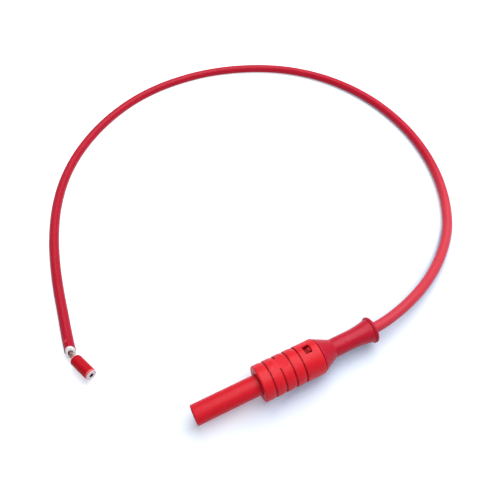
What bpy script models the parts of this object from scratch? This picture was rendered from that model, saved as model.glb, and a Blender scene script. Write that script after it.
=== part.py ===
"""Sheathed 4 mm plug lead: a plug with a spring-loaded sheath on a free cable whose far end is half stripped.

The plug lies along X on the floor, its open nose towards -X and its cable leaving towards +X.
Z = 0 is the floor, and the origin is on it, halfway along the plug.
"""

import math

import bmesh
import bpy
from mathutils import Matrix, Vector

MM = 0.001

# Grip shell
GRIP_OD = 13.8 * MM
GRIP_LENGTH = 24.7 * MM
GRIP_WALL = 0.9 * MM
GRIP_FRONT_WALL = 1.6 * MM
GRIP_EDGE_RADIUS = 0.5 * MM
GROOVE_COUNT = 4
FIRST_BAND = 4.45 * MM
GROOVE_PITCH = 4.15 * MM
GROOVE_DEPTH = 0.6 * MM
GROOVE_WIDTH = 0.4 * MM
GROOVE_FLARE = 0.05 * MM
BAND_TAPER = 1.3 * MM
BAND_DROP = 0.25 * MM
GRIP_ROLL = math.radians(-15)  # how far the pad and the windows lie turned about the plug's axis

# Bare flat pad on the second and third bands, and the latch windows near the grip's rear
PAD_START = 6.8 * MM
PAD_DEPTH = 0.5 * MM
WINDOW_LENGTH = 2.6 * MM
WINDOW_WIDTH = 3.6 * MM
WINDOW_FROM_REAR = 4.2 * MM

# Sheath, which slides back into the grip
SHEATH_OD = 7.7 * MM
SHEATH_WALL = 0.85 * MM
SHEATH_REACH = 25.1 * MM
SHEATH_FLANGE = 1.6 * MM
SHEATH_EDGE_RADIUS = 0.25 * MM
SHEATH_GUIDE = 1.0 * MM
SOCKET_DEPTH = 19.4 * MM

# Contact pin, lantern cage and return spring
PIN_OD = 4.0 * MM
PIN_RECESS = 1.6 * MM
PIN_HEAD_OD = 3.7 * MM
PIN_HEAD_LENGTH = 2.2 * MM
PIN_WAIST_OD = 2.7 * MM
PIN_FLANGE = 1.0 * MM
PIN_FLANGE_STEP = 0.3 * MM
CAGE_LENGTH = 13.0 * MM
CAGE_SHEET = 0.17 * MM
CAGE_END_RING = 1.1 * MM
CAGE_BULGE_OD = 4.3 * MM
CAGE_LEAVES = 8
CAGE_SLOT = 0.5 * MM
SPRING_WIRE = 0.45 * MM
SPRING_TURNS = 11
BARREL_OD = 3.4 * MM
BARREL_LENGTH = 6.4 * MM
BARREL_HOLE = 0.9 * MM

# Contact carrier, which closes the grip's rear
CARRIER_BASE = 1.8 * MM
CARRIER_SLEEVE_WALL = 0.65 * MM
CARRIER_SLEEVE = 5.0 * MM
SPIGOT_OD = 6.8 * MM
SPIGOT_LENGTH = 4.4 * MM
SPIGOT_BEAD = 0.45 * MM
SNAP_RIB = 0.2 * MM
SNAP_RIB_LENGTH = 0.8 * MM
LATCH_WIDTH = 1.7 * MM
LATCH_LENGTH = 1.2 * MM
LATCH_SUNK = 0.6 * MM
FINGER_SLOT = 0.5 * MM

# Anti-kink boot
BOOT_LENGTH = 24.2 * MM
BOOT_STEP = 0.3 * MM
CONE_LENGTH = 6.2 * MM
NECK_OD = 7.2 * MM
FLARE_LENGTH = 9.6 * MM
FLARE_OD = 10.5 * MM
FLARE_CURVE = 1.7  # the power by which the neck swells into the flare
LIP_RADIUS = 0.75 * MM
LIP_JOIN = 170  # degrees round the lip where the flare runs into it
MOUTH_OD = 7.6 * MM

# Cable and its stripped end
CABLE_OD = 4.3 * MM
JACKET_WALL = 0.35 * MM
CORE_OD = 1.5 * MM
CORE_STRANDS = 7
CORE_TWIST = 11.0 * MM
INSULATION_PROUD = 0.9 * MM
BARE_LENGTH = 4.2 * MM
SLUG_LENGTH = 10.0 * MM
SLUG_SWELL = 0.15 * MM
SLUG_TURN = math.radians(24.5)
SLUG_RISE = math.radians(3)
SLUG_CORE_DEPTH = 6.5 * MM

# Clearances
SLIDE_GAP = 0.2 * MM
FIT_GAP = 0.1 * MM
SEAT_GAP = 0.2 * MM
STOP_GAP = 0.1 * MM

# The cable's centreline from the boot's mouth round to the cut end, lying on the floor once it has come down
CABLE_ROUTE = [
    Vector((x, y, z)) * MM
    for x, y, z in (
        (46.1, 0.8, 6.9),
        (58.6, 3.9, 6.1),
        (72.7, 9.5, 4.3),
        (86.7, 17.7, 2.7),
        (98.9, 28.0, 2.1),
        (108.8, 41.1, 2.1),
        (116.6, 56.3, 2.1),
        (121.9, 73.0, 2.1),
        (124.5, 90.1, 2.1),
        (124.2, 107.4, 2.1),
        (121.2, 124.1, 2.1),
        (115.2, 139.9, 2.1),
        (106.4, 154.1, 2.1),
        (95.0, 166.2, 2.1),
        (81.5, 175.5, 2.1),
        (66.6, 182.1, 2.1),
        (50.9, 186.2, 2.1),
        (34.6, 187.4, 2.1),
        (18.1, 185.9, 2.1),
        (2.0, 181.3, 2.1),
        (-13.4, 173.5, 2.1),
        (-27.2, 163.3, 2.1),
        (-39.3, 151.0, 2.1),
        (-49.1, 137.0, 2.1),
        (-56.4, 121.8, 2.1),
        (-61.5, 106.2, 2.1),
        (-64.8, 91.1, 2.1),
        (-66.9, 76.7, 2.1),
        (-68.2, 63.2, 2.3),
        (-69.2, 51.6, 2.9),
        (-69.5, 44.8, 3.8),
    )
]
CABLE_POINT_SPACING = 10.0 * MM

# Places along the plug's axis, worked out from the sizes above
PLUG_LENGTH = SHEATH_REACH + GRIP_LENGTH + SEAT_GAP + BOOT_LENGTH
NOSE_X = -PLUG_LENGTH / 2
RIM_X = NOSE_X + SHEATH_REACH
GRIP_REAR_X = RIM_X + GRIP_LENGTH
BOOT_FRONT_X = GRIP_REAR_X + SEAT_GAP
BOOT_END_X = BOOT_FRONT_X + BOOT_LENGTH
CARRIER_REAR_X = GRIP_REAR_X - SEAT_GAP
CARRIER_FRONT_X = CARRIER_REAR_X - CARRIER_BASE
SLEEVE_FRONT_X = CARRIER_FRONT_X - CARRIER_SLEEVE
SPIGOT_END_X = CARRIER_REAR_X + SPIGOT_LENGTH
SNAP_RIB_X = CARRIER_REAR_X
FLANGE_FRONT_X = RIM_X + GRIP_FRONT_WALL + SEAT_GAP
FLANGE_REAR_X = FLANGE_FRONT_X + SHEATH_FLANGE
GUIDE_X = NOSE_X + SOCKET_DEPTH
PIN_TIP_X = NOSE_X + PIN_RECESS
WAIST_START_X = PIN_TIP_X + PIN_HEAD_LENGTH
WAIST_END_X = WAIST_START_X + CAGE_LENGTH + 2 * FIT_GAP
PIN_FLANGE_REAR_X = CARRIER_FRONT_X - STOP_GAP
PIN_FLANGE_FRONT_X = PIN_FLANGE_REAR_X - PIN_FLANGE
BARREL_END_X = SPIGOT_END_X + BARREL_LENGTH
CABLE_START_X = BARREL_END_X + 2 * SEAT_GAP

# Radii, each seated on its neighbour's
GRIP_R = GRIP_OD / 2
SEAT_R = GRIP_R - GRIP_WALL
SLEEVE_R = SEAT_R - FIT_GAP
CHAMBER_R = SLEEVE_R - CARRIER_SLEEVE_WALL
SHEATH_FLANGE_R = CHAMBER_R - SLIDE_GAP
SHEATH_R = SHEATH_OD / 2
SHEATH_BORE_R = SHEATH_R - SHEATH_WALL
PIN_R = PIN_OD / 2
PIN_FLANGE_R = SHEATH_BORE_R + PIN_FLANGE_STEP
PIN_BORE_R = PIN_R + FIT_GAP
SPIGOT_R = SPIGOT_OD / 2
BARREL_R = BARREL_OD / 2
CORE_R = CORE_OD / 2
CORE_BORE_R = CORE_R + FIT_GAP
CABLE_R = CABLE_OD / 2
CABLE_BORE_R = CABLE_R + FIT_GAP
INSULATION_R = CABLE_R - JACKET_WALL - FIT_GAP / 2
JACKET_BORE_R = CABLE_R - JACKET_WALL + FIT_GAP / 2

# Facets round each turned piece
GRIP_FACETS = 48
PART_FACETS = 40
SMALL_FACETS = 24

# The plug rests on one facet of its grip
AXIS_HEIGHT = GRIP_R * math.cos(math.pi / GRIP_FACETS)


def clear_scene():
    for obj in list(bpy.data.objects):
        bpy.data.objects.remove(obj)


def material(name, colour, roughness, metallic=0.0):
    made = bpy.data.materials.new(name)
    made.use_nodes = True
    shader = made.node_tree.nodes["Principled BSDF"]
    shader.inputs["Base Color"].default_value = (*colour, 1.0)
    shader.inputs["Roughness"].default_value = roughness
    shader.inputs["Metallic"].default_value = metallic
    made.diffuse_color = (*colour, 1.0)
    return made


def empty(name, location, parent=None):
    made = bpy.data.objects.new(name, None)
    bpy.context.scene.collection.objects.link(made)
    made.empty_display_size = 5 * MM
    made.location = location
    made.parent = parent
    return made


def add_object(name, data, finish=None, parent=None, x=0.0):
    made = bpy.data.objects.new(name, data)
    bpy.context.scene.collection.objects.link(made)
    made.location = (x, 0.0, 0.0)
    made.parent = parent
    if finish:
        data.materials.append(finish)
    return made


def mesh_from(name, bm, smooth_angle=math.radians(32)):
    """The bmesh as a mesh, its faces turned out and its round sides shaded smooth."""
    bmesh.ops.recalc_face_normals(bm, faces=bm.faces)
    mesh = bpy.data.meshes.new(name)
    bm.to_mesh(mesh)
    bm.free()
    mesh.shade_smooth()
    mesh.set_sharp_from_angle(angle=smooth_angle)
    return mesh


def turned(name, outline, facets):
    """A piece turned about X from its outline of (x, radius): closed, or with both ends on the axis."""
    bm = bmesh.new()
    half_facet = Matrix.Rotation(math.pi / facets, 4, "X")
    verts = [bm.verts.new(half_facet @ Vector((x, 0.0, r))) for x, r in outline]
    edges = [bm.edges.new(pair) for pair in zip(verts, verts[1:])]
    on_axis = outline[0][1] == 0.0
    if not on_axis:
        edges.append(bm.edges.new((verts[-1], verts[0])))
    bmesh.ops.spin(
        bm,
        geom=verts + edges,
        cent=(0, 0, 0),
        axis=(1, 0, 0),
        angle=2 * math.pi,
        steps=facets,
        use_merge=True,
    )
    bmesh.ops.remove_doubles(bm, verts=bm.verts, dist=0.001 * MM)
    return mesh_from(name, bm)


def arc(centre, radius, start, end, steps):
    """Points of (x, radius) round an arc, angles in degrees from the +X direction towards outwards."""
    points = []
    for i in range(steps + 1):
        angle = math.radians(start + (end - start) * i / steps)
        points.append((centre[0] + radius * math.cos(angle), centre[1] + radius * math.sin(angle)))
    return points


def block(bm, low, high, turn=0.0):
    """A box between two corners, turned about the X axis."""
    size = [b - a for a, b in zip(low, high)]
    centre = [(a + b) / 2 for a, b in zip(low, high)]
    place = Matrix.Rotation(turn, 4, "X") @ Matrix.Translation(centre) @ Matrix.Diagonal((*size, 1.0))
    bmesh.ops.create_cube(bm, size=1.0, matrix=place)


def cut(target, bm, name):
    """Takes the bmesh's shape out of the target."""
    combine(target, bm, name, "DIFFERENCE")


def combine(target, bm, name, operation):
    """Joins the bmesh's shape to the target, or takes it out, by a hidden tool."""
    tool = add_object(name, mesh_from(name, bm), parent=target.parent)
    tool.location = target.location
    tool.hide_render = True
    tool.display_type = "WIRE"
    boolean = target.modifiers.new(name, "BOOLEAN")
    boolean.operation = operation
    boolean.solver = "EXACT"
    boolean.object = tool


def groove_middle(index):
    return FIRST_BAND + index * GROOVE_PITCH - GROOVE_WIDTH / 2


def grip_outline():
    """The shell's wall, from its front face back along the grooved outside and forward through the bores."""
    edge = GRIP_EDGE_RADIUS
    outside = arc((edge, GRIP_R - edge), edge, 180, 90, 4)
    half = GROOVE_WIDTH / 2
    for i in range(GROOVE_COUNT):
        middle = groove_middle(i)
        # each band tapers towards its rear, and the next one starts at a sharp step
        outside += [
            (middle - half - BAND_TAPER, GRIP_R),
            (middle - half - GROOVE_FLARE, GRIP_R - BAND_DROP),
            (middle - half, GRIP_R - GROOVE_DEPTH),
            (middle + half, GRIP_R - GROOVE_DEPTH),
            (middle + half + GROOVE_FLARE, GRIP_R),
        ]
    outside += arc((GRIP_LENGTH - edge, GRIP_R - edge), edge, 90, 30, 3)
    outside.append((GRIP_LENGTH, outside[-1][1] - edge / 4))
    sheath_hole = SHEATH_R + SLIDE_GAP
    seat_start = SLEEVE_FRONT_X - SEAT_GAP - RIM_X
    inside = [
        (GRIP_LENGTH, SEAT_R),
        (seat_start, SEAT_R),
        (seat_start, CHAMBER_R),
        (GRIP_FRONT_WALL, CHAMBER_R),
        (GRIP_FRONT_WALL, sheath_hole),
        (SHEATH_EDGE_RADIUS, sheath_hole),
        (0.0, sheath_hole + SHEATH_EDGE_RADIUS),
    ]
    return outside + inside


def grip_shell(plug, finish):
    """The ribbed grip: a shell with a flat pad across two bands and two windows for the carrier's latches."""
    grip = add_object("grip_shell", turned("grip_shell", grip_outline(), GRIP_FACETS), finish, plug, RIM_X)
    # the groove that would cross the pad is filled before the pad is cut flat
    pad_r = GRIP_R - PAD_DEPTH
    fill_width = math.sqrt((GRIP_R - BAND_DROP / 2) ** 2 - pad_r**2)
    crossing = groove_middle(1)
    fill = bmesh.new()
    low = (crossing - GROOVE_WIDTH, -fill_width, GRIP_R - 2 * GROOVE_DEPTH)
    high = (crossing + GROOVE_WIDTH, fill_width, GRIP_R - PAD_DEPTH / 2)
    block(fill, low, high, GRIP_ROLL)
    combine(grip, fill, "groove_fill", "UNION")
    pad = bmesh.new()
    pad_end = groove_middle(2)
    block(pad, (PAD_START, -GRIP_R, pad_r), (pad_end, GRIP_R, 2 * GRIP_R), GRIP_ROLL)
    cut(grip, pad, "pad_cutter")
    windows = bmesh.new()
    middle = GRIP_LENGTH - WINDOW_FROM_REAR
    for turn in (GRIP_ROLL, GRIP_ROLL + math.pi):
        low = (middle - WINDOW_LENGTH / 2, -WINDOW_WIDTH / 2, SEAT_R - GRIP_WALL)
        high = (middle + WINDOW_LENGTH / 2, WINDOW_WIDTH / 2, GRIP_R + GRIP_WALL)
        block(windows, low, high, turn)
    cut(grip, windows, "window_cutter")
    return grip


def retractable_sheath(travel, finish):
    """The insulating tube round the contact: a flange stops it in the grip, and a guide web rides the pin."""
    edge = SHEATH_EDGE_RADIUS
    nose = NOSE_X - RIM_X
    guide = GUIDE_X - RIM_X
    flange_front = FLANGE_FRONT_X - RIM_X
    flange_rear = FLANGE_REAR_X - RIM_X
    counterbore = flange_rear - PIN_FLANGE - SEAT_GAP
    outline = arc((nose + edge, SHEATH_R - edge), edge, 180, 90, 3)
    outline += [
        (flange_front, SHEATH_R),
        (flange_front, SHEATH_FLANGE_R - edge),
        (flange_front + edge, SHEATH_FLANGE_R),
        (flange_rear, SHEATH_FLANGE_R),
        (flange_rear, PIN_FLANGE_R + SLIDE_GAP),
        (counterbore, PIN_FLANGE_R + SLIDE_GAP),
        (counterbore, SHEATH_BORE_R),
        (guide + SHEATH_GUIDE, SHEATH_BORE_R),
        (guide + SHEATH_GUIDE, PIN_R + SLIDE_GAP),
        (guide, PIN_R + SLIDE_GAP),
        (guide, SHEATH_BORE_R),
        (nose + edge, SHEATH_BORE_R),
        (nose, SHEATH_BORE_R + edge),
    ]
    name = "retractable_sheath"
    return add_object(name, turned(name, outline, PART_FACETS), finish, travel)


def contact_pin(plug, finish):
    """The turned contact: round head, waist for the cage, shank, flange, snap groove and crimp barrel."""
    head_r = PIN_HEAD_OD / 2
    waist_r = PIN_WAIST_OD / 2
    rib_r = PIN_R - SNAP_RIB
    rib_end = SNAP_RIB_X + SNAP_RIB_LENGTH + FIT_GAP
    bore_end = BARREL_END_X - BARREL_LENGTH + BARREL_R
    # the head's round nose ends in a small flat tip
    head = [(PIN_TIP_X, 0.0)] + arc((PIN_TIP_X + head_r, 0.0), head_r, 160, 90, 6)
    outline = head + [
        (WAIST_START_X, head_r),
        (WAIST_START_X, waist_r),
        (WAIST_END_X, waist_r),
        (WAIST_END_X, PIN_R - FIT_GAP),
        (WAIST_END_X + FIT_GAP, PIN_R),
        (PIN_FLANGE_FRONT_X, PIN_R),
        (PIN_FLANGE_FRONT_X, PIN_FLANGE_R),
        (PIN_FLANGE_REAR_X, PIN_FLANGE_R),
        (PIN_FLANGE_REAR_X, PIN_R),
        (SNAP_RIB_X - FIT_GAP, PIN_R),
        (SNAP_RIB_X - FIT_GAP, rib_r),
        (rib_end, rib_r),
        (rib_end, PIN_R),
        (SPIGOT_END_X, PIN_R),
        (SPIGOT_END_X, BARREL_R),
        (BARREL_END_X, BARREL_R),
        (BARREL_END_X, CORE_BORE_R),
        (bore_end, CORE_BORE_R),
        (bore_end - CORE_BORE_R, 0.0),
    ]
    pin = add_object("contact_pin", turned("contact_pin", outline, SMALL_FACETS), finish, plug)
    hole = bmesh.new()
    place = Matrix.Translation((bore_end + BARREL_HOLE, 0.0, BARREL_R))
    bmesh.ops.create_cone(
        hole,
        cap_ends=True,
        segments=16,
        radius1=BARREL_HOLE / 2,
        radius2=BARREL_HOLE / 2,
        depth=2 * BARREL_R,
        matrix=place,
    )
    cut(pin, hole, "inspection_hole_cutter")
    return pin


def contact_cage(plug, finish):
    """The lantern: a rolled sheet sleeve slotted into leaves that bow out to grip a socket."""
    start = WAIST_START_X + FIT_GAP
    end = start + CAGE_LENGTH
    inner_r = PIN_WAIST_OD / 2 + FIT_GAP
    bulge = CAGE_BULGE_OD / 2 - inner_r - CAGE_SHEET
    bow_start = start + CAGE_END_RING
    bow_length = CAGE_LENGTH - 2 * CAGE_END_RING
    steps = 8
    wall = [(start, inner_r)]
    for i in range(steps + 1):
        share = i / steps
        wall.append((bow_start + bow_length * share, inner_r + bulge * (1 - (2 * share - 1) ** 2)))
    wall.append((end, inner_r))
    outline = wall + [(x, r + CAGE_SHEET) for x, r in reversed(wall)]
    cage = add_object("contact_cage", turned("contact_cage", outline, 4 * CAGE_LEAVES), finish, plug)
    slots = bmesh.new()
    for i in range(CAGE_LEAVES):
        low = (bow_start, -CAGE_SLOT / 2, inner_r / 2)
        high = (bow_start + bow_length, CAGE_SLOT / 2, CAGE_BULGE_OD)
        block(slots, low, high, 2 * math.pi * i / CAGE_LEAVES)
    cut(cage, slots, "cage_slot_cutter")
    return cage


def curve_object(name, points, radius, sides_resolution, finish, parent=None):
    """A round wire or cord along the points, its ends closed."""
    curve = bpy.data.curves.new(name, "CURVE")
    curve.dimensions = "3D"
    curve.bevel_depth = radius
    curve.bevel_resolution = sides_resolution
    curve.use_fill_caps = True
    spline = curve.splines.new("POLY")
    spline.points.add(len(points) - 1)
    for point, place in zip(spline.points, points):
        point.co = (*place, 1.0)
    spline.use_smooth = True
    return add_object(name, curve, finish, parent)


def sheath_spring(plug, finish):
    """The return spring round the pin's shank, from the sheath's guide web back to the pin's flange."""
    start = GUIDE_X + SHEATH_GUIDE + SPRING_WIRE / 2 + STOP_GAP
    end = PIN_FLANGE_FRONT_X - SPRING_WIRE / 2 - STOP_GAP
    coil_r = (PIN_R + SHEATH_BORE_R) / 2
    steps_per_turn = 12
    steps = SPRING_TURNS * steps_per_turn
    points = []
    for i in range(steps + 1):
        angle = 2 * math.pi * i / steps_per_turn
        x = start + (end - start) * i / steps
        points.append((x, coil_r * math.sin(angle), coil_r * math.cos(angle)))
    return curve_object("sheath_spring", points, SPRING_WIRE / 2, 1, finish, plug)


def contact_carrier(plug, finish):
    """The moulded insulator: it holds the pin, latches in the grip's windows and carries the boot."""
    bead_start = CARRIER_REAR_X + SPIGOT_LENGTH / 3
    bead_end = bead_start + SPIGOT_LENGTH / 3
    rib_end = SNAP_RIB_X + SNAP_RIB_LENGTH
    rib_r = PIN_BORE_R - SNAP_RIB
    outline = [
        (SLEEVE_FRONT_X, CHAMBER_R),
        (SLEEVE_FRONT_X, SLEEVE_R),
        (CARRIER_REAR_X, SLEEVE_R),
        (CARRIER_REAR_X, SPIGOT_R),
        (bead_start, SPIGOT_R),
        (bead_start, SPIGOT_R + SPIGOT_BEAD),
        (bead_end, SPIGOT_R),
        (SPIGOT_END_X, SPIGOT_R),
        (SPIGOT_END_X, PIN_BORE_R),
        (rib_end, PIN_BORE_R),
        (rib_end, rib_r),
        (SNAP_RIB_X, rib_r),
        (SNAP_RIB_X, PIN_BORE_R),
        (CARRIER_FRONT_X, PIN_BORE_R),
        (CARRIER_FRONT_X, CHAMBER_R),
    ]
    carrier = add_object("contact_carrier", turned("contact_carrier", outline, PART_FACETS), finish, plug)
    slots = bmesh.new()
    latches = bmesh.new()
    window_rear = GRIP_REAR_X - WINDOW_FROM_REAR + WINDOW_LENGTH / 2
    catch = window_rear - SEAT_GAP
    ramp_foot = catch - LATCH_LENGTH
    crest_r = GRIP_R - LATCH_SUNK
    root_r = (CHAMBER_R + SLEEVE_R) / 2
    nose = ((ramp_foot, root_r), (catch, root_r), (catch, crest_r), (catch - LATCH_LENGTH / 2, crest_r))
    slot_middle = LATCH_WIDTH / 2 + FINGER_SLOT
    for turn in (GRIP_ROLL, GRIP_ROLL + math.pi):
        about_axis = Matrix.Rotation(turn, 4, "X")
        face = latches.faces.new(
            [latches.verts.new(about_axis @ Vector((x, -LATCH_WIDTH / 2, r))) for x, r in nose]
        )
        made = bmesh.ops.extrude_face_region(latches, geom=[face])["geom"]
        moved = [v for v in made if isinstance(v, bmesh.types.BMVert)]
        bmesh.ops.translate(latches, verts=moved, vec=about_axis @ Vector((0.0, LATCH_WIDTH, 0.0)))
        for side in (-slot_middle, slot_middle):
            low = (SLEEVE_FRONT_X - SEAT_GAP, side - FINGER_SLOT / 2, CHAMBER_R / 2)
            high = (CARRIER_FRONT_X - SEAT_GAP, side + FINGER_SLOT / 2, GRIP_R)
            block(slots, low, high, turn)
    combine(carrier, latches, "latch_noses", "UNION")
    cut(carrier, slots, "finger_slot_cutter")
    return carrier


def kink_boot(plug, finish):
    """The soft boot: a cone off the grip, a slim neck and a trumpet mouth that the cable bends against."""
    flare_x = BOOT_END_X - FLARE_LENGTH
    neck_r = NECK_OD / 2
    front_r = GRIP_R - BOOT_STEP
    lip_x = BOOT_END_X - LIP_RADIUS
    lip_r = FLARE_OD / 2 - LIP_RADIUS
    lip = arc((lip_x, lip_r), LIP_RADIUS, LIP_JOIN, 0, 5)
    trumpet_end, trumpet_r = lip[0]
    steps = 6
    outside = [(BOOT_FRONT_X, front_r), (BOOT_FRONT_X + CONE_LENGTH, neck_r)]
    for i in range(steps):
        share = i / steps
        x = flare_x + (trumpet_end - flare_x) * share
        outside.append((x, neck_r + (trumpet_r - neck_r) * share**FLARE_CURVE))
    outside += lip
    mouth_r = MOUTH_OD / 2
    mouth = []
    for i in range(steps + 1):
        share = 1 - i / steps
        mouth.append((flare_x + FLARE_LENGTH * share, CABLE_BORE_R + (mouth_r - CABLE_BORE_R) * share**2))
    socket_r = SPIGOT_R + FIT_GAP
    socket_end = SPIGOT_END_X + SEAT_GAP
    bead_start = CARRIER_REAR_X + SPIGOT_LENGTH / 3 - FIT_GAP
    bead_end = bead_start + SPIGOT_LENGTH / 3 + 2 * FIT_GAP
    barrel_room_r = BARREL_R + SEAT_GAP
    barrel_room_end = BARREL_END_X + SEAT_GAP
    inside = mouth + [
        (barrel_room_end, CABLE_BORE_R),
        (barrel_room_end, barrel_room_r),
        (socket_end, barrel_room_r),
        (socket_end, socket_r),
        (bead_end, socket_r),
        (bead_start, socket_r + SPIGOT_BEAD),
        (bead_start, socket_r),
        (BOOT_FRONT_X, socket_r),
    ]
    return add_object("kink_boot", turned("kink_boot", outside + inside, PART_FACETS), finish, plug)


def stranded(name, path, radius, finish, parent=None):
    """Twisted strands as one bundle: a lobed section carried along the path, turning as it goes."""
    bm = bmesh.new()
    points_per_strand = 4
    count = CORE_STRANDS * points_per_strand
    rings = []
    travelled = 0.0
    for i, place in enumerate(path):
        before = path[max(i - 1, 0)]
        after = path[min(i + 1, len(path) - 1)]
        along = (after - before).normalized()
        travelled += (place - before).length
        side = along.cross(Vector((0, 0, 1))).normalized()
        over = side.cross(along)
        ring = []
        for k in range(count):
            angle = 2 * math.pi * k / count
            lobe = abs(math.cos(angle * CORE_STRANDS / 2))
            reach = radius * (0.84 + 0.16 * lobe)
            turn = angle + 2 * math.pi * travelled / CORE_TWIST
            ring.append(bm.verts.new(place + reach * (math.cos(turn) * side + math.sin(turn) * over)))
        rings.append(ring)
    for first, second in zip(rings, rings[1:]):
        for k in range(count):
            n = (k + 1) % count
            bm.faces.new((first[k], first[n], second[n], second[k]))
    bm.faces.new(list(reversed(rings[0])))
    bm.faces.new(rings[-1])
    return add_object(name, mesh_from(name, bm, math.radians(60)), finish, parent)


def crimped_core(plug, finish):
    """The strands crimped in the pin's barrel, from their bared end back to the cable."""
    start = BARREL_END_X - BARREL_LENGTH + BARREL_R + SEAT_GAP
    end = CABLE_START_X - SEAT_GAP
    steps = 6
    path = [Vector((start + (end - start) * i / steps, 0.0, 0.0)) for i in range(steps + 1)]
    return stranded("crimped_core", path, CORE_R, finish, plug)


def curve_through(points, spacing):
    """A smooth curve through the points, read off at the given spacing, both ends kept."""
    fine = []
    ends = [2 * points[0] - points[1], *points, 2 * points[-1] - points[-2]]
    steps = 24
    for a, b, c, d in zip(ends, ends[1:], ends[2:], ends[3:]):
        for i in range(steps):
            t = i / steps
            bend = 2 * b + (c - a) * t + (2 * a - 5 * b + 4 * c - d) * t**2 + (3 * b - a - 3 * c + d) * t**3
            fine.append(bend / 2)
    fine.append(points[-1])
    lengths = [(b - a).length for a, b in zip(fine, fine[1:])]
    count = round(sum(lengths) / spacing)
    step = sum(lengths) / count
    read = [fine[0]]
    travelled = 0.0
    for a, b, length in zip(fine, fine[1:], lengths):
        while travelled + length > step * len(read) and len(read) < count:
            read.append(a.lerp(b, (step * len(read) - travelled) / length))
        travelled += length
    return read + [fine[-1]]


def cable_centreline():
    """From its start inside the boot, straight out of the mouth, down to the floor and round to the cut."""
    in_boot = [Vector((x, 0.0, AXIS_HEIGHT)) for x in (CABLE_START_X, BOOT_END_X - FLARE_LENGTH, BOOT_END_X)]
    points = curve_through(in_boot + CABLE_ROUTE, CABLE_POINT_SPACING)
    return [Vector((p.x, p.y, max(p.z, CABLE_R))) for p in points]


def facing(direction):
    """The turn that points X along the direction and keeps Y level."""
    side = Vector((0, 0, 1)).cross(direction).normalized()
    return Matrix((direction, side, direction.cross(side))).transposed()


def layer(name, inner_r, outer_r, length, finish, parent, x=0.0):
    """One tubular layer of the cable, from x on along its parent's X axis."""
    outline = [(0.0, inner_r), (0.0, outer_r), (length, outer_r), (length, inner_r)]
    return add_object(name, turned(name, outline, SMALL_FACETS), finish, parent, x)


def stripped_end(cable_end, along, finishes):
    """The cut end: proud inner insulation, and a slug of covering pulled part way along the bare core."""
    cut_end = empty("cut_end", cable_end)
    cut_end.rotation_euler = facing(along).to_euler()
    white = finishes["insulation"]
    layer("inner_insulation", CORE_BORE_R, INSULATION_R, INSULATION_PROUD, white, cut_end, SEAT_GAP)
    heading = math.atan2(along.y, along.x) + SLUG_TURN
    rise = math.sin(SLUG_RISE)
    level = math.cos(SLUG_RISE)
    slug_along = Vector((level * math.cos(heading), level * math.sin(heading), rise))
    slug_start = cable_end + BARE_LENGTH * (along + slug_along).normalized()
    slug = empty("slug", slug_start)
    slug.rotation_euler = facing(slug_along).to_euler()
    lining_r = INSULATION_R + SLUG_SWELL
    cover_bore_r = JACKET_BORE_R + SLUG_SWELL
    cover_r = CABLE_R + SLUG_SWELL
    layer("slug_insulation", CORE_BORE_R, lining_r, SLUG_LENGTH, white, slug)
    layer("slug_jacket", cover_bore_r, cover_r, SLUG_LENGTH, finishes["jacket"], slug)
    straight = INSULATION_PROUD + SEAT_GAP
    bend_start = cable_end + straight * along
    reach = (slug_start - bend_start).length / 3
    steps = 8
    path = [cable_end + SEAT_GAP * along]
    for i in range(steps):
        t = i / steps
        path.append(
            (1 - t) ** 3 * bend_start
            + 3 * (1 - t) ** 2 * t * (bend_start + reach * along)
            + 3 * (1 - t) * t**2 * (slug_start - reach * slug_along)
            + t**3 * slug_start
        )
    path += [slug_start + SLUG_CORE_DEPTH * slug_along * i / 3 for i in range(4)]
    stranded("bare_core", path, CORE_R, finishes["strands"])


def build():
    clear_scene()
    grip_red = material("grip_red", (0.80, 0.045, 0.055), 0.42)
    sheath_red = material("sheath_red", (0.68, 0.02, 0.03), 0.34)
    boot_red = material("boot_red", (0.52, 0.015, 0.035), 0.48)
    finishes = {
        "jacket": material("jacket_red", (0.66, 0.035, 0.05), 0.5),
        "insulation": material("insulation_white", (0.86, 0.85, 0.83), 0.55),
        "strands": material("tinned_strands", (0.55, 0.47, 0.42), 0.35, 1.0),
    }
    nickel = material("nickel_plate", (0.72, 0.68, 0.60), 0.2, 1.0)
    spring_steel = material("spring_steel", (0.60, 0.60, 0.61), 0.25, 1.0)
    plug = empty("plug_axis", (0.0, 0.0, AXIS_HEIGHT))
    travel = empty("sheath_travel", (RIM_X, 0.0, 0.0), plug)
    grip_shell(plug, grip_red)
    contact_carrier(plug, grip_red)
    retractable_sheath(travel, sheath_red)
    sheath_spring(plug, spring_steel)
    contact_pin(plug, nickel)
    contact_cage(plug, nickel)
    kink_boot(plug, boot_red)
    crimped_core(plug, finishes["strands"])
    centreline = cable_centreline()
    curve_object("cable", centreline, CABLE_R, 3, finishes["jacket"])
    stripped_end(centreline[-1], (centreline[-1] - centreline[-2]).normalized(), finishes)


build()
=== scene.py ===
"""Looks of the sheathed plug lead: its fine meshes and finishes, the floor, the light and the camera."""

import math
import random

import bmesh
import bpy
from mathutils import Matrix, Vector, noise


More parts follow.
